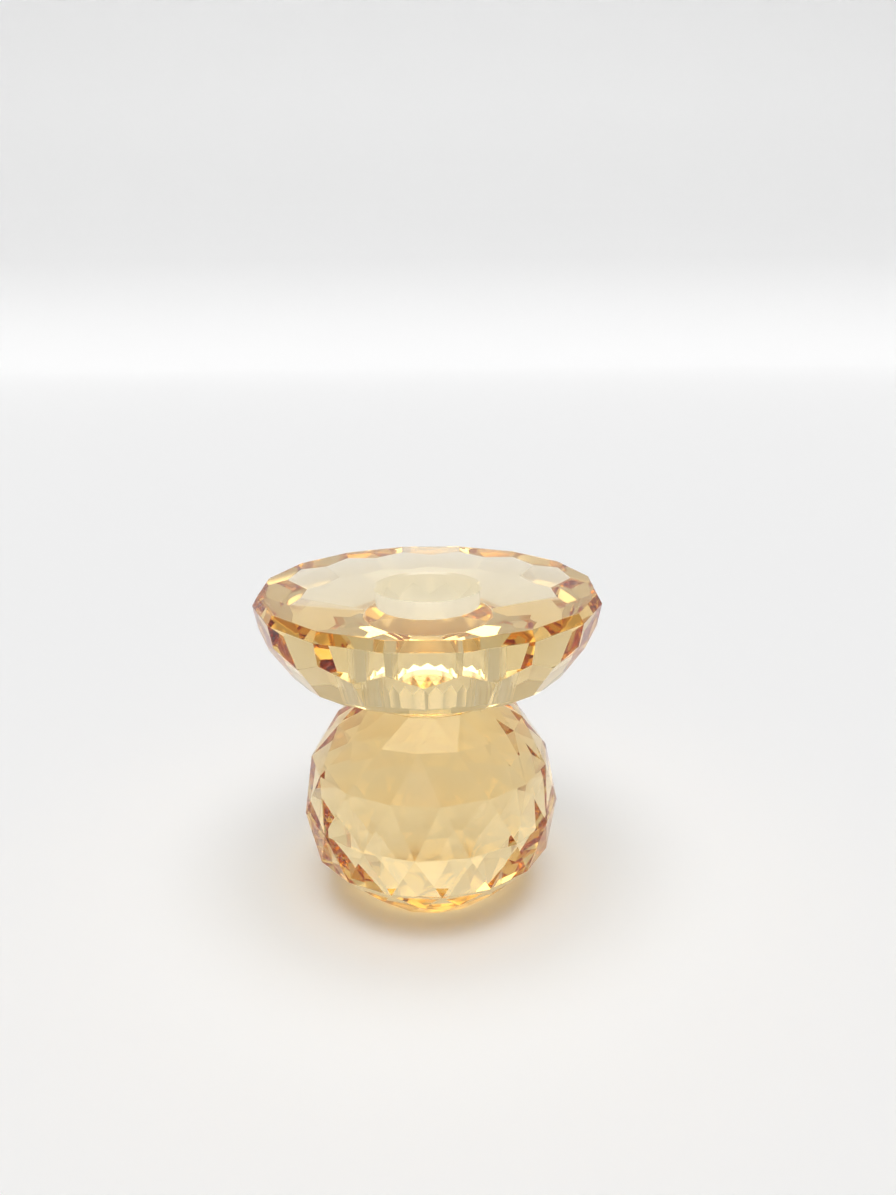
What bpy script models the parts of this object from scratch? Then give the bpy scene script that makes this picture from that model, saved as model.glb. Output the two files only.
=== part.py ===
"""Cut glass candlestick: a faceted dish with a candle socket, bonded on a faceted ball.

Units are metres and +Z is up. The origin is the centre of the flat base.
"""

import math

import bmesh
import bpy
from mathutils import Vector

MM = 0.001

# Both glass pieces are cut on the same index wheel.
FACETS = 16

# Dish: the flat table on top, then four rows of facets down to the foot.
GIRDLE_RADIUS = 39.1 * MM
BEVEL_WIDTH = 1.2 * MM
BEVEL_BAND = 2.1 * MM
SIDE_BAND = 5.1 * MM
SHOULDER_BAND = 10.4 * MM
FOOT_BAND = 7.5 * MM
SIDE_LEAN = math.radians(11.0)
SHOULDER_LEAN = math.radians(34.6)
DISH_TURN = math.radians(9.8)

# Candle socket: a plain taper candle stands in a blind round bore.
CANDLE_DIAMETER = 22.0 * MM
CANDLE_CLEARANCE = 0.9 * MM
SOCKET_DEPTH = 16.0 * MM
MOUTH_CHAMFER = 0.5 * MM
SOCKET_STEPS = 48

# Ball: rings of facet corners on a sphere, flat where it carries the dish and where it stands.
BALL_RADIUS = 30.2 * MM
BASE_RADIUS = 16.0 * MM
BASE_DROP = 22.25 * MM
UPPER_RING = math.radians(44.0)
CROWN_RING = math.radians(22.5)
LOWER_RING = math.radians(-19.5)
FOOT_RING_RADIUS = 22.4 * MM
FOOT_RING_DROP = 16.65 * MM
BALL_TURN = math.radians(4.45)

# Bonded joint: the foot of the dish and the top of the ball share one radius.
JOINT_RADIUS = 15.0 * MM
BOND_THICKNESS = 0.4 * MM
BOND_INSET = 0.4 * MM
BOND_EDGE = 0.1 * MM
BOND_STEPS = 48
CONTACT_GAP = 0.2 * MM

# Sizes that follow from the ones above.
STEP = 2.0 * math.pi / FACETS
HALF_STEP_COS = math.cos(STEP / 2.0)
FRONT = -math.pi / 2.0
DISH_HEIGHT = BEVEL_BAND + SIDE_BAND + SHOULDER_BAND + FOOT_BAND
SOCKET_RADIUS = CANDLE_DIAMETER / 2.0 + CANDLE_CLEARANCE
SEAT_RISE = math.sqrt(BALL_RADIUS ** 2 - JOINT_RADIUS ** 2)
BALL_TOP = BASE_DROP + SEAT_RISE
BOND_BOTTOM = BALL_TOP + CONTACT_GAP
DISH_BOTTOM = BOND_BOTTOM + BOND_THICKNESS + CONTACT_GAP
TABLE_HEIGHT = DISH_BOTTOM + DISH_HEIGHT
SOCKET_FLOOR = TABLE_HEIGHT - SOCKET_DEPTH

# Room that a blank or a cutter has beyond the surface that it makes.
CUT_ROOM = 3.0 * MM
MERGE_DISTANCE = 0.000001


def clear_scene():
    """Remove every object that the file starts with."""
    for item in list(bpy.data.objects):
        bpy.data.objects.remove(item, do_unlink=True)


def make_collection(name):
    """Add an empty collection to the scene."""
    collection = bpy.data.collections.new(name)
    bpy.context.scene.collection.children.link(collection)
    return collection


def make_glass(name, color, roughness):
    """Make a clear glass material with a body colour."""
    material = bpy.data.materials.new(name)
    material.use_nodes = True
    shader = material.node_tree.nodes["Principled BSDF"]
    shader.inputs["Base Color"].default_value = (*color, 1.0)
    shader.inputs["Metallic"].default_value = 0.0
    shader.inputs["Roughness"].default_value = roughness
    shader.inputs["Transmission Weight"].default_value = 1.0
    shader.inputs["IOR"].default_value = 1.52
    material.diffuse_color = (*color, 1.0)
    return material


def add_object(bm, name, collection, material=None):
    """Turn a finished bmesh into a named object in a collection."""
    mesh = bpy.data.meshes.new(name)
    bmesh.ops.recalc_face_normals(bm, faces=bm.faces)
    bm.to_mesh(mesh)
    bm.free()
    item = bpy.data.objects.new(name, mesh)
    collection.objects.link(item)
    if material is not None:
        mesh.materials.append(material)
    return item


def facet_angle(index, turn, half_step):
    """Angle about +Z of one corner or facet, counted from the front."""
    return FRONT + turn + (index + (0.5 if half_step else 0.0)) * STEP


def ring_points(radius, height, turn, half_step):
    """Corners of one ring, evenly spaced about +Z."""
    angles = [facet_angle(index, turn, half_step) for index in range(FACETS)]
    return [Vector((radius * math.cos(a), radius * math.sin(a), height)) for a in angles]


def cut_row(bm, reach, height, lean, half_step):
    """Grind one row of flat facets, each through a point at its reach and height."""
    for index in range(FACETS):
        angle = facet_angle(index, DISH_TURN, half_step)
        outward = Vector((math.cos(angle), math.sin(angle), 0.0))
        normal = outward * math.cos(lean) - Vector((0.0, 0.0, math.sin(lean)))
        point = outward * reach + Vector((0.0, 0.0, height))
        cut = bmesh.ops.bisect_plane(
            bm,
            geom=bm.verts[:] + bm.edges[:] + bm.faces[:],
            dist=MERGE_DISTANCE,
            plane_co=point,
            plane_no=normal,
            clear_outer=True,
        )
        rim = [part for part in cut["geom_cut"] if isinstance(part, bmesh.types.BMEdge)]
        if rim:
            bmesh.ops.contextual_create(bm, geom=rim)


def build_dish_blank():
    """Round blank that the rows of facets are ground from."""
    bm = bmesh.new()
    bmesh.ops.create_cone(
        bm,
        cap_ends=True,
        segments=FACETS * 2,
        radius1=GIRDLE_RADIUS + CUT_ROOM,
        radius2=GIRDLE_RADIUS + CUT_ROOM,
        depth=DISH_HEIGHT,
    )
    middle = DISH_BOTTOM + DISH_HEIGHT / 2.0
    bmesh.ops.translate(bm, verts=bm.verts, vec=(0.0, 0.0, middle))
    return bm


def build_dish(collection, cutters, material):
    """Faceted dish with its blind candle socket."""
    bm = build_dish_blank()

    girdle_height = TABLE_HEIGHT - BEVEL_BAND
    girdle_reach = GIRDLE_RADIUS * HALF_STEP_COS
    bevel_lean = -math.atan(BEVEL_WIDTH * HALF_STEP_COS / BEVEL_BAND)
    cut_row(bm, girdle_reach, girdle_height, bevel_lean, True)
    cut_row(bm, girdle_reach, girdle_height, SIDE_LEAN, True)

    shoulder_height = girdle_height - SIDE_BAND
    shoulder_reach = (girdle_reach - SIDE_BAND * math.tan(SIDE_LEAN)) / HALF_STEP_COS
    cut_row(bm, shoulder_reach, shoulder_height, SHOULDER_LEAN, False)

    foot_height = shoulder_height - SHOULDER_BAND
    foot_reach = (shoulder_reach - SHOULDER_BAND * math.tan(SHOULDER_LEAN)) / HALF_STEP_COS
    foot_lean = math.atan((foot_reach - JOINT_RADIUS * HALF_STEP_COS) / FOOT_BAND)
    cut_row(bm, foot_reach, foot_height, foot_lean, True)

    dish = add_object(bm, "candle_dish", collection, material)
    socket = build_socket_cutter(cutters)
    bore = dish.modifiers.new("socket", "BOOLEAN")
    bore.operation = "DIFFERENCE"
    bore.solver = "EXACT"
    bore.object = socket
    return dish


def build_socket_cutter(collection):
    """Turned cutter for the socket: a cylinder that opens in a small chamfer at the mouth."""
    mouth_radius = SOCKET_RADIUS + MOUTH_CHAMFER
    profile = (
        (0.0, TABLE_HEIGHT + CUT_ROOM),
        (mouth_radius + CUT_ROOM, TABLE_HEIGHT + CUT_ROOM),
        (SOCKET_RADIUS, TABLE_HEIGHT - MOUTH_CHAMFER),
        (SOCKET_RADIUS, SOCKET_FLOOR),
        (0.0, SOCKET_FLOOR),
    )
    bm = bmesh.new()
    corners = [bm.verts.new((radius, 0.0, height)) for radius, height in profile]
    for start, end in zip(corners, corners[1:]):
        bm.edges.new((start, end))
    mesh = bpy.data.meshes.new("socket_cutter")
    bm.to_mesh(mesh)
    bm.free()
    cutter = bpy.data.objects.new("socket_cutter", mesh)
    collection.objects.link(cutter)
    screw = cutter.modifiers.new("turn", "SCREW")
    screw.axis = "Z"
    screw.angle = 2.0 * math.pi
    screw.steps = SOCKET_STEPS
    screw.render_steps = SOCKET_STEPS
    screw.use_merge_vertices = True
    screw.merge_threshold = MERGE_DISTANCE
    cutter.hide_render = True
    cutter.display_type = "WIRE"
    return cutter


def latitude_ring(latitude):
    """Radius of a ring on the ball and its rise above the ball's centre."""
    return BALL_RADIUS * math.cos(latitude), BALL_RADIUS * math.sin(latitude)


def build_ball(collection, material):
    """Ball of triangular facets between rings of corners, with a flat seat and a flat base."""
    rings = (
        (JOINT_RADIUS, SEAT_RISE),
        latitude_ring(UPPER_RING),
        latitude_ring(CROWN_RING),
        (BALL_RADIUS, 0.0),
        latitude_ring(LOWER_RING),
        (FOOT_RING_RADIUS, -FOOT_RING_DROP),
        (BASE_RADIUS, -BASE_DROP),
    )
    bm = bmesh.new()
    for row, (radius, rise) in enumerate(rings):
        half_step = row % 2 == 1
        for point in ring_points(radius, BASE_DROP + rise, BALL_TURN, half_step):
            bm.verts.new(point)
    bmesh.ops.convex_hull(bm, input=bm.verts[:])
    flat_angle = math.radians(0.1)
    bmesh.ops.dissolve_limit(bm, angle_limit=flat_angle, verts=bm.verts[:], edges=bm.edges[:])
    return add_object(bm, "ball_stem", collection, material)


def build_bond(collection, material):
    """Thin disc of clear adhesive between the dish and the ball."""
    radius = JOINT_RADIUS * HALF_STEP_COS - BOND_INSET
    bm = bmesh.new()
    bmesh.ops.create_cone(
        bm,
        cap_ends=True,
        segments=BOND_STEPS,
        radius1=radius,
        radius2=radius,
        depth=BOND_THICKNESS,
    )
    bmesh.ops.translate(bm, verts=bm.verts, vec=(0.0, 0.0, BOND_BOTTOM + BOND_THICKNESS / 2.0))
    bond = add_object(bm, "adhesive_film", collection, material)
    edge = bond.modifiers.new("rounded_edge", "BEVEL")
    edge.width = BOND_EDGE
    edge.segments = 2
    edge.limit_method = "ANGLE"
    return bond


def main():
    """Build the three pieces and their materials."""
    clear_scene()
    parts = make_collection("glass_candlestick")
    cutters = make_collection("cutters")
    dish_glass = make_glass("dish_glass", (0.93, 0.83, 0.62), 0.02)
    ball_glass = make_glass("ball_glass", (0.91, 0.76, 0.46), 0.02)
    clear_resin = make_glass("clear_resin", (0.95, 0.91, 0.80), 0.10)
    build_dish(parts, cutters, dish_glass)
    build_ball(parts, ball_glass)
    build_bond(parts, clear_resin)


main()
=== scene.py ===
"""Looks of a cut glass candlestick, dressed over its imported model.

Three pieces stand for the three nodes of the model: a faceted dish with a candle socket, a
faceted ball that carries it, and the clear bond between them. Units are metres, +Z is up and
the camera looks along +Y.
"""

import logging
import math
from collections.abc import Callable
from dataclasses import dataclass, field
from enum import Enum

import bpy
from mathutils import Matrix, Vector

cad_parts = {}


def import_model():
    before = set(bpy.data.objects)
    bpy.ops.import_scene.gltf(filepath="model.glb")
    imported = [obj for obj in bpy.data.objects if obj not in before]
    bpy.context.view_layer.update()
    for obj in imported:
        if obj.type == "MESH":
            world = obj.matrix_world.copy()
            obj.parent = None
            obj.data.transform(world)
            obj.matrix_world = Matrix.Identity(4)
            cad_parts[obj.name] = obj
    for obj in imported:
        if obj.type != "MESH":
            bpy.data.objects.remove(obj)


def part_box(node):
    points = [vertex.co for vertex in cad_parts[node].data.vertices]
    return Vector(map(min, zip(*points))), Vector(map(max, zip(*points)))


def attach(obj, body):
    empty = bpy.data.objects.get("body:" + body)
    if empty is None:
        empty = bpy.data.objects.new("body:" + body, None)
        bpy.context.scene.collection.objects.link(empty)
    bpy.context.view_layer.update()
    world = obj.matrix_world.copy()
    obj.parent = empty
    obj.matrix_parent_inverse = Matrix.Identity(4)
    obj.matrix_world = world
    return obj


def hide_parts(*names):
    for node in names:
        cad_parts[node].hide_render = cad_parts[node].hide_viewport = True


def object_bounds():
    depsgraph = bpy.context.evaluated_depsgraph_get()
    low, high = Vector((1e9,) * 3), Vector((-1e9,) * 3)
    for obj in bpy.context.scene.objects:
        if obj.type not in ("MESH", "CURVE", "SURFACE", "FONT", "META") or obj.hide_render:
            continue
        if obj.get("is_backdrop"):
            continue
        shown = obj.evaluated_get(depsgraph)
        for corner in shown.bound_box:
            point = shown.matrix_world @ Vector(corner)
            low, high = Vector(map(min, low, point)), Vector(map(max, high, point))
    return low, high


LOG = logging.getLogger("candlestick")
MM = 0.001
GROUND = "ground"
FLAT_ANGLE = math.radians(0.5)
WHITE = (1.0, 1.0, 1.0, 1.0)
Box = tuple[Vector, Vector]
Color = tuple[float, float, float]


class Row(Enum):
    """Where the facets of one row stand on the index wheel."""

    ON_STEP = 0.0
    HALF_STEP = 0.5


class Editing:
    """Edit mode on one mesh object, entered with nothing selected."""

    def __init__(self, item: bpy.types.Object) -> None:
        """Keep the object that is edited.

        Args:
            item: Mesh object to edit.
        """
        self.item = item

    def __enter__(self) -> bpy.types.Object:
        """Make the object the only selected one and enter edit mode.

        Returns:
            Object that is edited.
        """
        pick(self.item)
        bpy.ops.object.mode_set(mode="EDIT")
        bpy.ops.mesh.select_all(action="DESELECT")
        return self.item

    def __exit__(self, *_problem: object) -> None:
        """Go back to object mode.

        Args:
            _problem: Error that ended the editing, if there was one; not used.
        """
        bpy.ops.object.mode_set(mode="OBJECT")


def pick(item: bpy.types.Object) -> None:
    """Select one object alone and make it active.

    Args:
        item: Object to select.
    """
    if bpy.context.mode != "OBJECT":
        bpy.ops.object.mode_set(mode="OBJECT")
    bpy.ops.object.select_all(action="DESELECT")
    item.select_set(True)
    bpy.context.view_layer.objects.active = item


def settle(item: bpy.types.Object, name: str) -> bpy.types.Object:
    """Name an object and put its place into its mesh.

    Args:
        item: Object that may stand off the origin.
        name: Name for the object and its mesh.

    Returns:
        The same object, at the origin.
    """
    pick(item)
    bpy.ops.object.transform_apply(location=True, rotation=True, scale=True)
    item.name = name
    item.data.name = name
    return item


def choose_corners(item: bpy.types.Object, test: Callable[[Vector], bool]) -> None:
    """Enter edit mode with only the corners selected that pass a test.

    Args:
        item: Mesh object to edit.
        test: Says of a corner's place whether it is selected.
    """
    pick(item)
    bpy.ops.object.mode_set(mode="EDIT")
    bpy.ops.mesh.select_mode(type="VERT")
    bpy.ops.mesh.select_all(action="DESELECT")
    bpy.ops.object.mode_set(mode="OBJECT")
    for corner in item.data.vertices:
        corner.select = test(corner.co)
    bpy.ops.object.mode_set(mode="EDIT")


def choose_edges(item: bpy.types.Object, test: Callable[[Vector, Vector], bool]) -> None:
    """Enter edit mode with only the edges selected that pass a test.

    Args:
        item: Mesh object to edit.
        test: Says of an edge's two ends whether it is selected.
    """
    pick(item)
    bpy.ops.object.mode_set(mode="EDIT")
    bpy.ops.mesh.select_mode(type="EDGE")
    bpy.ops.mesh.select_all(action="DESELECT")
    bpy.ops.object.mode_set(mode="OBJECT")
    corners = item.data.vertices
    for edge in item.data.edges:
        start, end = (corners[index].co for index in edge.vertices)
        edge.select = test(start, end)
    bpy.ops.object.mode_set(mode="EDIT")


def apply_modifiers(item: bpy.types.Object) -> None:
    """Apply every modifier of an object in order.

    Args:
        item: Object with live modifiers.
    """
    pick(item)
    for modifier in list(item.modifiers):
        bpy.ops.object.modifier_apply(modifier=modifier.name)


def ease_arrises(item: bpy.types.Object, width: float) -> None:
    """Flatten the sharp edges between facets by the width of a polished arris.

    Args:
        item: Faceted solid.
        width: Width of the arris.
    """
    with Editing(item):
        bpy.ops.mesh.select_all(action="SELECT")
        bpy.ops.mesh.bevel(offset=width, offset_type="WIDTH", segments=1, affect="EDGES")


def turn_about_axis(step: float, row: Row, turn: float, index: int) -> float:
    """Angle about +Z of one corner or facet, counted from the front.

    Args:
        step: Angle between two facets of a row.
        row: Whether the row is shifted by half a step.
        turn: Turn of the whole piece about its axis.
        index: Number of the facet.

    Returns:
        Angle in radians, measured from +X.
    """
    return -math.pi / 2.0 + turn + (index + row.value) * step


@dataclass(frozen=True)
class GlassFinish:
    """Clear tinted glass with faint marks of cutting and polishing."""

    name: str
    tint: Color = (0.985, 0.955, 0.88)
    body: Color = (0.925, 0.70, 0.08)
    body_density: float = 17.0
    ior: float = 1.52
    polish_low: float = 0.0
    polish_high: float = 0.012
    ground_low: float = 0.0
    ground_high: float = 0.0
    haze_scale: float = 90.0
    grit_scale: float = 1400.0
    noise_detail: float = 4.0
    noise_low: float = 0.35
    noise_high: float = 0.75
    ripple_scale: tuple[float, float, float] = (140.0, 140.0, 320.0)
    ripple_depth: float = 0.006 * MM
    ripple_strength: float = 0.5
    ripple_detail: float = 2.0

    def make(self) -> bpy.types.Material:
        """Build the node material.

        Returns:
            Material with a worked surface and a coloured body.
        """
        material = bpy.data.materials.new(self.name)
        material.use_nodes = True
        tree = material.node_tree
        shader = tree.nodes["Principled BSDF"]
        shader.inputs["Base Color"].default_value = (*self.tint, 1.0)
        shader.inputs["Metallic"].default_value = 0.0
        shader.inputs["IOR"].default_value = self.ior
        shader.inputs["Transmission Weight"].default_value = 1.0
        place = tree.nodes.new("ShaderNodeTexCoord")
        self.link_roughness(tree, place, shader)
        self.link_ripple(tree, place, shader)
        absorb = tree.nodes.new("ShaderNodeVolumeAbsorption")
        absorb.inputs["Color"].default_value = (*self.body, 1.0)
        absorb.inputs["Density"].default_value = self.body_density
        tree.links.new(absorb.outputs["Volume"], tree.nodes["Material Output"].inputs["Volume"])
        return material

    def link_roughness(
        self,
        tree: bpy.types.NodeTree,
        place: bpy.types.Node,
        shader: bpy.types.Node,
    ) -> None:
        """Give polished faces a faint haze and worked faces a fine grit.

        Args:
            tree: Nodes of the material.
            place: Texture coordinate node.
            shader: Principled shader.
        """
        haze = self.noise_range(tree, place, self.haze_scale, self.polish_low, self.polish_high)
        grit = self.noise_range(tree, place, self.grit_scale, self.ground_low, self.ground_high)
        worked = tree.nodes.new("ShaderNodeAttribute")
        worked.attribute_name = GROUND
        blend = tree.nodes.new("ShaderNodeMix")
        blend.data_type = "FLOAT"
        tree.links.new(worked.outputs["Fac"], blend.inputs["Factor"])
        tree.links.new(haze, blend.inputs["A"])
        tree.links.new(grit, blend.inputs["B"])
        tree.links.new(blend.outputs["Result"], shader.inputs["Roughness"])

    def noise_range(
        self,
        tree: bpy.types.NodeTree,
        place: bpy.types.Node,
        scale: float,
        low: float,
        high: float,
    ) -> bpy.types.NodeSocket:
        """Noise on object coordinates, spread between two values.

        Args:
            tree: Nodes of the material.
            place: Texture coordinate node.
            scale: Size of the noise.
            low: Value of the quiet parts.
            high: Value of the busy parts.

        Returns:
            Socket with the spread noise.
        """
        noise = tree.nodes.new("ShaderNodeTexNoise")
        noise.inputs["Scale"].default_value = scale
        noise.inputs["Detail"].default_value = self.noise_detail
        spread = tree.nodes.new("ShaderNodeMapRange")
        spread.inputs["From Min"].default_value = self.noise_low
        spread.inputs["From Max"].default_value = self.noise_high
        spread.inputs["To Min"].default_value = low
        spread.inputs["To Max"].default_value = high
        tree.links.new(place.outputs["Object"], noise.inputs["Vector"])
        tree.links.new(noise.outputs["Fac"], spread.inputs["Value"])
        return spread.outputs["Result"]

    def link_ripple(
        self,
        tree: bpy.types.NodeTree,
        place: bpy.types.Node,
        shader: bpy.types.Node,
    ) -> None:
        """Give the faces the slight waviness that polishing leaves.

        Args:
            tree: Nodes of the material.
            place: Texture coordinate node.
            shader: Principled shader.
        """
        stretch = tree.nodes.new("ShaderNodeMapping")
        stretch.inputs["Scale"].default_value = self.ripple_scale
        ripple = tree.nodes.new("ShaderNodeTexNoise")
        ripple.inputs["Scale"].default_value = 1.0
        ripple.inputs["Detail"].default_value = self.ripple_detail
        bump = tree.nodes.new("ShaderNodeBump")
        bump.inputs["Strength"].default_value = self.ripple_strength
        bump.inputs["Distance"].default_value = self.ripple_depth
        tree.links.new(place.outputs["Object"], stretch.inputs["Vector"])
        tree.links.new(stretch.outputs["Vector"], ripple.inputs["Vector"])
        tree.links.new(ripple.outputs["Fac"], bump.inputs["Height"])
        tree.links.new(bump.outputs["Normal"], shader.inputs["Normal"])


def mark_ground(item: bpy.types.Object, test: Callable[[bpy.types.MeshPolygon], bool]) -> None:
    """Mark the faces of a glass piece that are worn or ground, beside the polished ones.

    Args:
        item: Finished glass shape.
        test: Says of a face whether it is marked.
    """
    marks = item.data.attributes.new(GROUND, "FLOAT", "FACE")
    for face in item.data.polygons:
        marks.data[face.index].value = 1.0 if test(face) else 0.0


@dataclass
class CandleDish:
    """Faceted dish with a flat table and a blind candle socket."""

    facets: int = 16
    turn: float = math.radians(9.8)
    girdle_radius: float = 39.1 * MM
    bevel_width: float = 1.2 * MM
    bevel_band: float = 2.1 * MM
    side_band: float = 5.1 * MM
    shoulder_band: float = 10.4 * MM
    side_lean: float = math.radians(11.0)
    shoulder_lean: float = math.radians(34.6)
    foot_radius: float = 15.0 * MM
    socket_radius: float = 11.9 * MM
    socket_depth: float = 16.0 * MM
    mouth_chamfer: float = 0.5 * MM
    socket_segments: int = 128
    arris: float = 0.07 * MM
    blank_room: float = 3.0 * MM
    cut_slack: float = 0.001 * MM
    merge_distance: float = 0.005 * MM
    socket_slack: float = 0.02 * MM
    smooth_angle: float = math.radians(6.0)
    glass: GlassFinish = GlassFinish("dish_cut_glass", ground_low=0.0, ground_high=0.03)

    def build(self) -> bpy.types.Object:
        """Cut the facets and the socket and dress the dish.

        Returns:
            Finished dish, in the place of its node.
        """
        low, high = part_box("candle_dish")
        bottom, table = low[2], high[2]
        dish = self.cut_facets(bottom, table)
        ease_arrises(dish, self.arris)
        self.bore_socket(dish, table)
        settle(dish, "dish")
        self.dress(dish, table)
        return dish

    def cut_facets(self, bottom: float, table: float) -> bpy.types.Object:
        """Grind four rows of facets from a round blank.

        Args:
            bottom: Height of the foot.
            table: Height of the flat top.

        Returns:
            Solid dish without its socket.
        """
        bpy.ops.object.select_all(action="DESELECT")
        bpy.ops.mesh.primitive_cylinder_add(
            vertices=self.facets * 2,
            radius=self.girdle_radius + self.blank_room,
            depth=table - bottom,
            location=(0.0, 0.0, (table + bottom) / 2.0),
        )
        dish = settle(bpy.context.object, "dish_blank")
        half = math.cos(math.pi / self.facets)
        girdle = self.girdle_radius * half
        girdle_height = table - self.bevel_band
        bevel_lean = -math.atan(self.bevel_width * half / self.bevel_band)
        shoulder_height = girdle_height - self.side_band
        shoulder = (girdle - self.side_band * math.tan(self.side_lean)) / half
        foot_height = shoulder_height - self.shoulder_band
        foot = (shoulder - self.shoulder_band * math.tan(self.shoulder_lean)) / half
        foot_lean = math.atan((foot - self.foot_radius * half) / (foot_height - bottom))
        with Editing(dish):
            self.grind_row(girdle, girdle_height, bevel_lean, Row.HALF_STEP)
            self.grind_row(girdle, girdle_height, self.side_lean, Row.HALF_STEP)
            self.grind_row(shoulder, shoulder_height, self.shoulder_lean, Row.ON_STEP)
            self.grind_row(foot, foot_height, foot_lean, Row.HALF_STEP)
            bpy.ops.mesh.select_all(action="SELECT")
            bpy.ops.mesh.remove_doubles(threshold=self.merge_distance)
            bpy.ops.mesh.dissolve_limited(angle_limit=FLAT_ANGLE)
            bpy.ops.mesh.normals_make_consistent(inside=False)
        return dish

    def grind_row(self, reach: float, height: float, lean: float, row: Row) -> None:
        """Grind one row of flat facets on the mesh in edit mode.

        Args:
            reach: Distance of each facet from the axis, at its height.
            height: Height at which the reach is measured.
            lean: Angle by which the facets face down.
            row: Whether the row is shifted by half a step.
        """
        step = 2.0 * math.pi / self.facets
        for index in range(self.facets):
            angle = turn_about_axis(step, row, self.turn, index)
            outward = Vector((math.cos(angle), math.sin(angle), 0.0))
            normal = outward * math.cos(lean) - Vector((0.0, 0.0, math.sin(lean)))
            bpy.ops.mesh.select_all(action="SELECT")
            bpy.ops.mesh.bisect(
                plane_co=outward * reach + Vector((0.0, 0.0, height)),
                plane_no=normal,
                use_fill=True,
                clear_outer=True,
                threshold=self.cut_slack,
            )

    def bore_socket(self, dish: bpy.types.Object, table: float) -> None:
        """Bore the blind socket with its small chamfer.

        Args:
            dish: Faceted solid.
            table: Height of the flat top.
        """
        bpy.ops.object.select_all(action="DESELECT")
        depth = self.socket_depth + self.blank_room
        bpy.ops.mesh.primitive_cylinder_add(
            vertices=self.socket_segments,
            radius=self.socket_radius,
            depth=depth,
            location=(0.0, 0.0, table - self.socket_depth + depth / 2.0),
        )
        cutter = settle(bpy.context.object, "socket_cutter")
        with Editing(cutter):
            bpy.ops.mesh.select_all(action="SELECT")
            bpy.ops.mesh.bisect(
                plane_co=(0.0, 0.0, table - self.mouth_chamfer), plane_no=(0.0, 0.0, 1.0)
            )
        self.flare(cutter, table)
        cut = dish.modifiers.new("socket", "BOOLEAN")
        cut.operation = "DIFFERENCE"
        cut.solver = "EXACT"
        cut.object = cutter
        apply_modifiers(dish)
        bpy.data.objects.remove(cutter, do_unlink=True)

    def flare(self, cutter: bpy.types.Object, table: float) -> None:
        """Widen the top of the cutter so that it leaves a chamfer at the mouth.

        Args:
            cutter: Round cutter with a ring of corners at the chamfer's foot.
            table: Height of the flat top.
        """
        top = table + self.blank_room
        grow = (self.socket_radius + self.mouth_chamfer + self.blank_room) / self.socket_radius
        choose_corners(cutter, lambda place: abs(place.z - top) < self.mouth_chamfer)
        bpy.ops.transform.resize(value=(grow, grow, 1.0), center_override=(0.0, 0.0, top))
        bpy.ops.object.mode_set(mode="OBJECT")

    def dress(self, dish: bpy.types.Object, table: float) -> None:
        """Give the facets and the socket their finishes.

        Args:
            dish: Finished shape.
            table: Height of the flat top.
        """
        dish.data.materials.clear()
        dish.data.materials.append(self.glass.make())
        limit = self.socket_radius + self.socket_slack
        floor = table - self.socket_depth - MM

        def in_socket(face: bpy.types.MeshPolygon) -> bool:
            """Tell whether a face belongs to the socket.

            Args:
                face: Face of the dish.

            Returns:
                True for the wall and the floor of the socket.
            """
            return face.center.xy.length < limit and face.center.z > floor

        mark_ground(dish, in_socket)
        pick(dish)
        bpy.ops.object.shade_smooth_by_angle(angle=self.smooth_angle)


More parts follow.
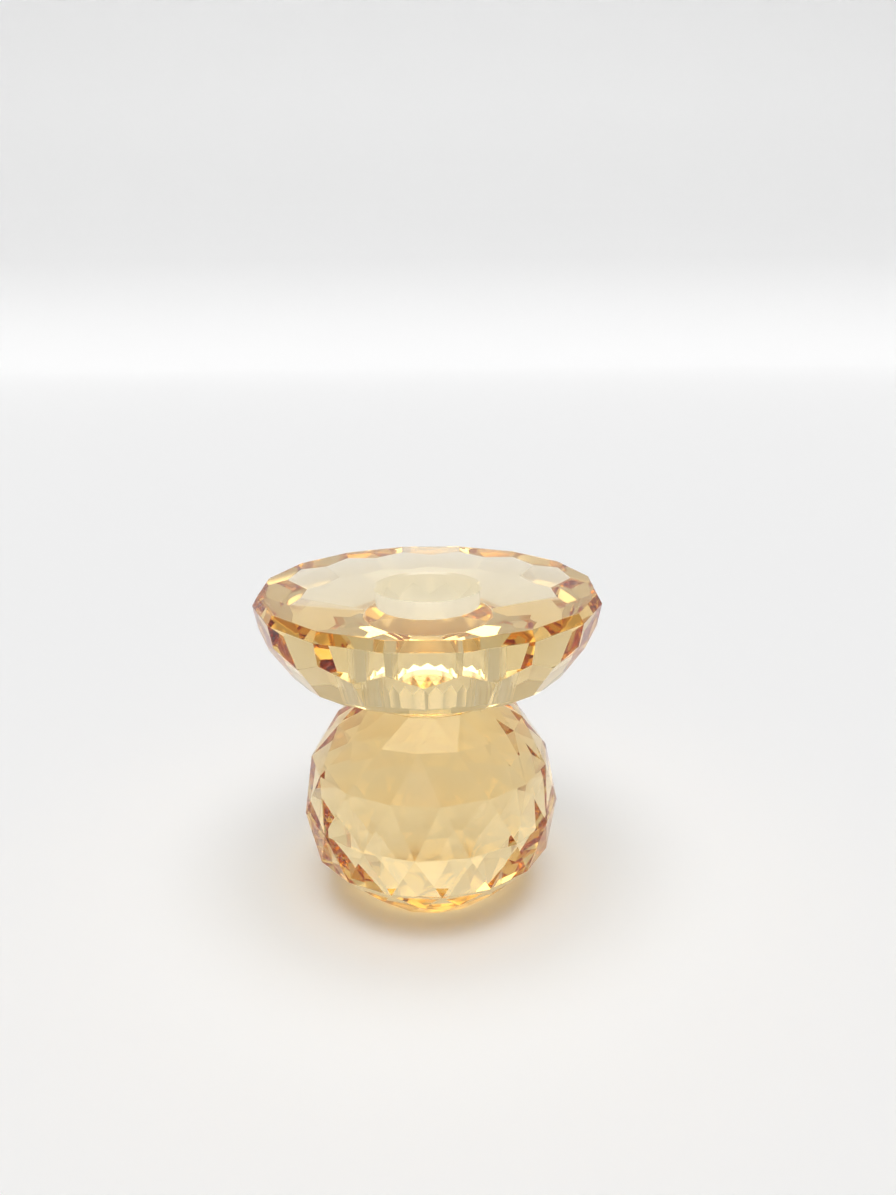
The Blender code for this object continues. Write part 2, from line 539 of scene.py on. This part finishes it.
@dataclass
class BallStem:
    """Faceted ball with a flat seat for the dish and a flat base."""

    facets: int = 16
    turn: float = math.radians(4.45)
    ball_radius: float = 30.2 * MM
    base_radius: float = 16.0 * MM
    base_drop: float = 22.25 * MM
    foot_ring_radius: float = 22.4 * MM
    foot_ring_drop: float = 16.65 * MM
    seat_radius: float = 15.0 * MM
    upper_ring: float = math.radians(44.0)
    crown_ring: float = math.radians(22.5)
    lower_ring: float = math.radians(-19.5)
    arris: float = 0.06 * MM
    base_facing: float = -0.99
    glass: GlassFinish = GlassFinish("ball_cut_glass", ground_low=0.0, ground_high=0.04)

    def rings(self) -> list[tuple[float, float]]:
        """Work out the rings of facet corners, from the seat to the base.

        Returns:
            Radius and height of each ring.
        """
        seat_rise = math.sqrt(self.ball_radius ** 2 - self.seat_radius ** 2)
        middle = [
            (self.ball_radius * math.cos(ring), self.ball_radius * math.sin(ring))
            for ring in (self.upper_ring, self.crown_ring, 0.0, self.lower_ring)
        ]
        foot = [(self.foot_ring_radius, -self.foot_ring_drop), (self.base_radius, -self.base_drop)]
        levels = [(self.seat_radius, seat_rise), *middle, *foot]
        return [(radius, self.base_drop + rise) for radius, rise in levels]

    def build(self) -> bpy.types.Object:
        """Cut the ball between its rings of corners and dress it.

        Returns:
            Finished ball, in the place of its node.
        """
        ball = self.cut_ball()
        ease_arrises(ball, self.arris)
        settle(ball, "ball")
        self.dress(ball)
        return ball

    def cut_ball(self) -> bpy.types.Object:
        """Join rings of corners into a closed body of triangular facets.

        Returns:
            Faceted ball with a flat seat and a flat base.
        """
        step = 2.0 * math.pi / self.facets
        rings: list[bpy.types.Object] = []
        for number, (radius, height) in enumerate(self.rings()):
            row = Row.HALF_STEP if number % 2 else Row.ON_STEP
            angle = turn_about_axis(step, row, self.turn, 0)
            bpy.ops.object.select_all(action="DESELECT")
            bpy.ops.mesh.primitive_circle_add(
                vertices=self.facets,
                radius=radius,
                location=(0.0, 0.0, height),
                rotation=(0.0, 0.0, angle - math.pi / 2.0),
            )
            rings.append(settle(bpy.context.object, f"ball_ring_{number}"))
        ball = rings[0]
        pick(ball)
        for ring in rings:
            ring.select_set(True)
        bpy.ops.object.join()
        bpy.ops.object.mode_set(mode="EDIT")
        bpy.ops.mesh.select_all(action="SELECT")
        bpy.ops.mesh.convex_hull(join_triangles=False)
        bpy.ops.mesh.select_all(action="SELECT")
        bpy.ops.mesh.dissolve_limited(angle_limit=FLAT_ANGLE)
        bpy.ops.mesh.normals_make_consistent(inside=False)
        bpy.ops.object.mode_set(mode="OBJECT")
        return ball

    def dress(self, ball: bpy.types.Object) -> None:
        """Give the facets a polished finish and the base a lightly scuffed one.

        Args:
            ball: Finished shape.
        """
        ball.data.materials.clear()
        ball.data.materials.append(self.glass.make())
        mark_ground(ball, lambda face: face.normal.z < self.base_facing)


@dataclass
class BondFilm:
    """Clear adhesive that joins the foot of the dish to the seat of the ball."""

    rim_radius: float = 14.5 * MM
    waist: float = 0.25 * MM
    wet_depth: float = 0.05 * MM
    rim_hollow: float = 0.7
    rim_waves: float = 0.12 * MM
    rim_swings: tuple[tuple[float, float, float], ...] = (
        (7.0, 0.6, 0.5),
        (17.0, 0.0, 0.3),
        (31.0, 2.0, 0.2),
    )
    segments: int = 128
    axis_slack: float = 0.01 * MM
    merge_distance: float = 0.002 * MM
    smooth_angle: float = math.radians(40.0)
    resin: GlassFinish = GlassFinish("bond_clear_resin", polish_high=0.03)

    def build(self) -> bpy.types.Object:
        """Spin the film with a hollow rim that wets both faces.

        Returns:
            Finished film, in the place of its node.
        """
        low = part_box("ball_stem")[1][2] - self.wet_depth
        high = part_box("candle_dish")[0][2] + self.wet_depth
        middle = (low + high) / 2.0
        profile = [
            (0.0, low),
            (self.rim_radius, low),
            (self.rim_radius - self.waist * self.rim_hollow, (low + middle) / 2.0),
            (self.rim_radius - self.waist, middle),
            (self.rim_radius - self.waist * self.rim_hollow, (middle + high) / 2.0),
            (self.rim_radius, high),
            (0.0, high),
        ]
        bpy.ops.object.select_all(action="DESELECT")
        bpy.ops.mesh.primitive_circle_add(vertices=len(profile), radius=1.0 * MM)
        film = settle(bpy.context.object, "bond_profile")
        for corner, (radius, height) in zip(film.data.vertices, profile):
            corner.co = (radius, 0.0, height)
        choose_edges(film, lambda start, end: max(start.x, end.x) < self.axis_slack)
        bpy.ops.mesh.delete(type="EDGE")
        bpy.ops.mesh.select_all(action="SELECT")
        bpy.ops.mesh.spin(
            steps=self.segments, angle=2.0 * math.pi, center=(0.0, 0.0, 0.0), axis=(0.0, 0.0, 1.0)
        )
        bpy.ops.mesh.select_all(action="SELECT")
        bpy.ops.mesh.remove_doubles(threshold=self.merge_distance)
        bpy.ops.mesh.normals_make_consistent(inside=False)
        bpy.ops.object.mode_set(mode="OBJECT")
        self.ripple_rim(film)
        settle(film, "bond")
        film.data.materials.clear()
        film.data.materials.append(self.resin.make())
        pick(film)
        bpy.ops.object.shade_smooth_by_angle(angle=self.smooth_angle)
        return film

    def ripple_rim(self, film: bpy.types.Object) -> None:
        """Let the squeezed-out rim wander in and out a little.

        Args:
            film: Spun film.
        """
        inner = self.rim_radius - self.waist * 2.0
        for corner in film.data.vertices:
            radius = math.hypot(corner.co.x, corner.co.y)
            if radius < inner:
                continue
            angle = math.atan2(corner.co.y, corner.co.x)
            wave = sum(share * math.sin(count * angle + shift) for count, shift, share in self.rim_swings)
            grow = (radius + wave * self.rim_waves) / radius
            corner.co.x *= grow
            corner.co.y *= grow


def join_numbers(
    tree: bpy.types.NodeTree,
    operation: str,
    first: bpy.types.NodeSocket,
    second: bpy.types.NodeSocket,
) -> bpy.types.NodeSocket:
    """Join two numbers of a node tree into one.

    Args:
        tree: Node tree that both numbers are in.
        operation: Name of the arithmetic.
        first: First number.
        second: Second number.

    Returns:
        Result of the arithmetic.
    """
    node = tree.nodes.new("ShaderNodeMath")
    node.operation = operation
    tree.links.new(first, node.inputs[0])
    tree.links.new(second, node.inputs[1])
    return node.outputs["Value"]


def seen_as_background(tree: bpy.types.NodeTree) -> bpy.types.NodeSocket:
    """Tell what is seen, directly or in the glass, from what lights a matt surface.

    Args:
        tree: Node tree of the world or of a material.

    Returns:
        1 for a background that is seen and 0 for light on a matt surface.
    """
    path = tree.nodes.new("ShaderNodeLightPath").outputs
    seen = join_numbers(tree, "MAXIMUM", path["Is Camera Ray"], path["Is Transmission Ray"])
    return join_numbers(tree, "MAXIMUM", seen, path["Is Glossy Ray"])


@dataclass(frozen=True)
class SoftLight:
    """Round soft light far away from the object."""

    azimuth: float
    elevation: float
    inner: float
    outer: float
    strength: float

    def toward(self) -> Vector:
        """Work out where the light stands, with azimuth 0 on the camera's side.

        Returns:
            Direction from the object to the light.
        """
        flat = math.cos(self.elevation)
        return Vector(
            (flat * math.sin(self.azimuth), -flat * math.cos(self.azimuth), math.sin(self.elevation))
        )

    def glow(self, tree: bpy.types.NodeTree, place: bpy.types.NodeSocket) -> bpy.types.NodeSocket:
        """Add the light's brightness to a world.

        Args:
            tree: Node tree of the world.
            place: Direction that is looked at.

        Returns:
            Strength of the light in that direction.
        """
        along = tree.nodes.new("ShaderNodeVectorMath")
        along.operation = "DOT_PRODUCT"
        along.inputs[1].default_value = self.toward()
        tree.links.new(place, along.inputs[0])
        edge = tree.nodes.new("ShaderNodeMapRange")
        edge.interpolation_type = "SMOOTHSTEP"
        edge.inputs["From Min"].default_value = math.cos(self.outer)
        edge.inputs["From Max"].default_value = math.cos(self.inner)
        edge.inputs["To Min"].default_value = 0.0
        edge.inputs["To Max"].default_value = self.strength
        tree.links.new(along.outputs["Value"], edge.inputs["Value"])
        return edge.outputs["Result"]


@dataclass
class Studio:
    """White sweep, soft light from above and from the front, and the camera."""

    floor_drop: float = 0.3 * MM
    sweep_half_width: float = 2.2
    sweep_front: float = -1.2
    sweep_back: float = 2.5
    sweep_height: float = 1.1
    sweep_round: float = 0.6
    sweep_steps: int = 40
    card_roughness: float = 0.9
    floor_color: Color = (0.93, 0.93, 0.93)
    lights: tuple[SoftLight, ...] = (
        SoftLight(0.0, math.radians(80.0), math.radians(18.0), math.radians(32.0), 3.85),
        SoftLight(0.0, math.radians(28.0), math.radians(8.0), math.radians(18.0), 1.4),
    )
    matt_surround: float = 0.15
    glass_surround: float = 0.6
    backdrop_lift: float = 0.2
    lift_start: float = 0.24
    distance: float = 222.5 * MM
    elevation: float = math.radians(16.08)
    roll: float = math.radians(-0.47)
    pan: float = 0.0205
    tilt: float = -0.0120
    focal_pixels: float = 985.0
    image_height: int = 1195
    sensor: float = 36.0
    nearest: float = 10.0 * MM
    glass_bounces: int = 32
    matt_bounces: int = 8

    def build(self, aim_height: float) -> None:
        """Set up the sweep, the light and the camera.

        Args:
            aim_height: Height on the axis that the camera is set about.
        """
        self.build_sweep()
        self.build_light()
        self.build_camera(aim_height)
        self.set_view()

    def build_sweep(self) -> None:
        """Lay a pale floor that rises into a backdrop in one curve."""
        bpy.ops.object.select_all(action="DESELECT")
        bpy.ops.mesh.primitive_plane_add(size=2.0)
        sweep = bpy.context.object
        for corner in sweep.data.vertices:
            back = corner.co.y > 0.0
            corner.co.x *= self.sweep_half_width
            corner.co.y = self.sweep_back if back else self.sweep_front
            corner.co.z = -self.floor_drop
        back = self.sweep_back - MM
        choose_edges(sweep, lambda start, end: min(start.y, end.y) > back)
        bpy.ops.mesh.extrude_region_move(
            TRANSFORM_OT_translate={"value": (0.0, 0.0, self.sweep_height)}
        )
        choose_edges(sweep, lambda start, end: min(start.y, end.y) > back and max(start.z, end.z) < MM)
        bpy.ops.mesh.bevel(offset=self.sweep_round, segments=self.sweep_steps, affect="EDGES")
        bpy.ops.object.mode_set(mode="OBJECT")
        settle(sweep, "studio_sweep")
        sweep.data.materials.append(self.sweep_material())
        pick(sweep)
        bpy.ops.object.shade_smooth()
        sweep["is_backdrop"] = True

    def sweep_material(self) -> bpy.types.Material:
        """Make a matt white card that stays pale where it rises into the backdrop.

        Returns:
            Material of the floor and backdrop.
        """
        material = bpy.data.materials.new("studio_white_card")
        material.use_nodes = True
        tree = material.node_tree
        shader = tree.nodes["Principled BSDF"]
        shader.inputs["Base Color"].default_value = (*self.floor_color, 1.0)
        shader.inputs["Roughness"].default_value = self.card_roughness
        shader.inputs["Specular IOR Level"].default_value = 0.0

        place = tree.nodes.new("ShaderNodeTexCoord")
        split = tree.nodes.new("ShaderNodeSeparateXYZ")
        tree.links.new(place.outputs["Object"], split.inputs["Vector"])
        rise = tree.nodes.new("ShaderNodeMapRange")
        rise.inputs["From Min"].default_value = self.lift_start
        rise.inputs["From Max"].default_value = self.sweep_round
        rise.inputs["To Min"].default_value = 0.0
        rise.inputs["To Max"].default_value = self.backdrop_lift
        tree.links.new(split.outputs["Z"], rise.inputs["Value"])
        lift = join_numbers(tree, "MULTIPLY", rise.outputs["Result"], seen_as_background(tree))
        tree.links.new(lift, shader.inputs["Emission Strength"])
        shader.inputs["Emission Color"].default_value = WHITE
        return material

    def build_light(self) -> None:
        """Light the scene from soft boxes, in a pale room that the glass shows."""
        world = bpy.data.worlds.new("studio_light")
        bpy.context.scene.world = world
        world.use_nodes = True
        tree = world.node_tree
        background = tree.nodes["Background"]
        place = tree.nodes.new("ShaderNodeTexCoord").outputs["Generated"]
        surround = tree.nodes.new("ShaderNodeMix")
        surround.data_type = "FLOAT"
        surround.inputs["A"].default_value = self.matt_surround
        surround.inputs["B"].default_value = self.glass_surround
        tree.links.new(seen_as_background(tree), surround.inputs["Factor"])
        total = surround.outputs["Result"]
        for light in self.lights:
            total = join_numbers(tree, "ADD", total, light.glow(tree, place))
        tree.links.new(total, background.inputs["Strength"])
        background.inputs["Color"].default_value = WHITE

    def build_camera(self, aim_height: float) -> None:
        """Place the camera as it was fitted to the facet corners.

        Args:
            aim_height: Height on the axis that the camera is set about.
        """
        offset = Vector(
            (0.0, -self.distance * math.cos(self.elevation), self.distance * math.sin(self.elevation))
        )
        toward = -offset.normalized()
        side = Vector((1.0, 0.0, 0.0))
        above = side.cross(toward)
        look = (toward + math.tan(self.pan) * side + math.tan(self.tilt) * above).normalized()
        right = look.cross(Vector((0.0, 0.0, 1.0))).normalized()
        up = right.cross(look)
        turned_right = math.cos(self.roll) * right + math.sin(self.roll) * up
        turned_up = math.cos(self.roll) * up - math.sin(self.roll) * right
        pose = Matrix((turned_right, turned_up, -look)).transposed().to_4x4()
        pose.translation = offset + Vector((0.0, 0.0, aim_height))
        data = bpy.data.cameras.new("photo_camera")
        data.sensor_width = self.sensor
        data.lens = data.sensor_width * self.focal_pixels / self.image_height
        data.clip_start = self.nearest
        camera = bpy.data.objects.new("photo_camera", data)
        bpy.context.scene.collection.objects.link(camera)
        camera.matrix_world = pose
        bpy.context.scene.camera = camera

    def set_view(self) -> None:
        """Show colours as they are and let light pass through as many glass faces as it meets."""
        scene = bpy.context.scene
        scene.view_settings.view_transform = "Standard"
        scene.cycles.max_bounces = self.glass_bounces
        scene.cycles.transmission_bounces = self.glass_bounces
        scene.cycles.glossy_bounces = self.glass_bounces
        scene.cycles.diffuse_bounces = self.matt_bounces
        scene.cycles.blur_glossy = 0.0


@dataclass
class Candlestick:
    """The whole candlestick, in the order in which it is put together."""

    ball: BallStem = field(default_factory=BallStem)
    bond: BondFilm = field(default_factory=BondFilm)
    dish: CandleDish = field(default_factory=CandleDish)

    def build(self) -> None:
        """Build each piece and let it stand for its node."""
        parts = (
            (self.ball.build, "ball_stem", "ball_glass"),
            (self.bond.build, "adhesive_film", "clear_resin"),
            (self.dish.build, "candle_dish", "dish_glass"),
        )
        for build, node, slot in parts:
            piece = build()
            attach(piece, "root")
            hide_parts(node)
            LOG.info("%s stands for %s with %d faces", piece.name, node, len(piece.data.polygons))


def plain(box: Box) -> list[list[float]]:
    """Turn a box into plain lists of numbers.

    Args:
        box: Lowest and highest corner.

    Returns:
        The two corners as lists.
    """
    return [[float(value) for value in corner] for corner in box]


def main() -> None:
    """Load the model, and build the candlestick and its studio."""
    logging.basicConfig(level=logging.INFO, format="%(name)s: %(message)s")
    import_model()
    model_box = plain(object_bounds())
    bpy.ops.object.select_all(action="DESELECT")
    Candlestick().build()
    Studio().build(model_box[1][2])


if __name__ == "__main__":
    main()
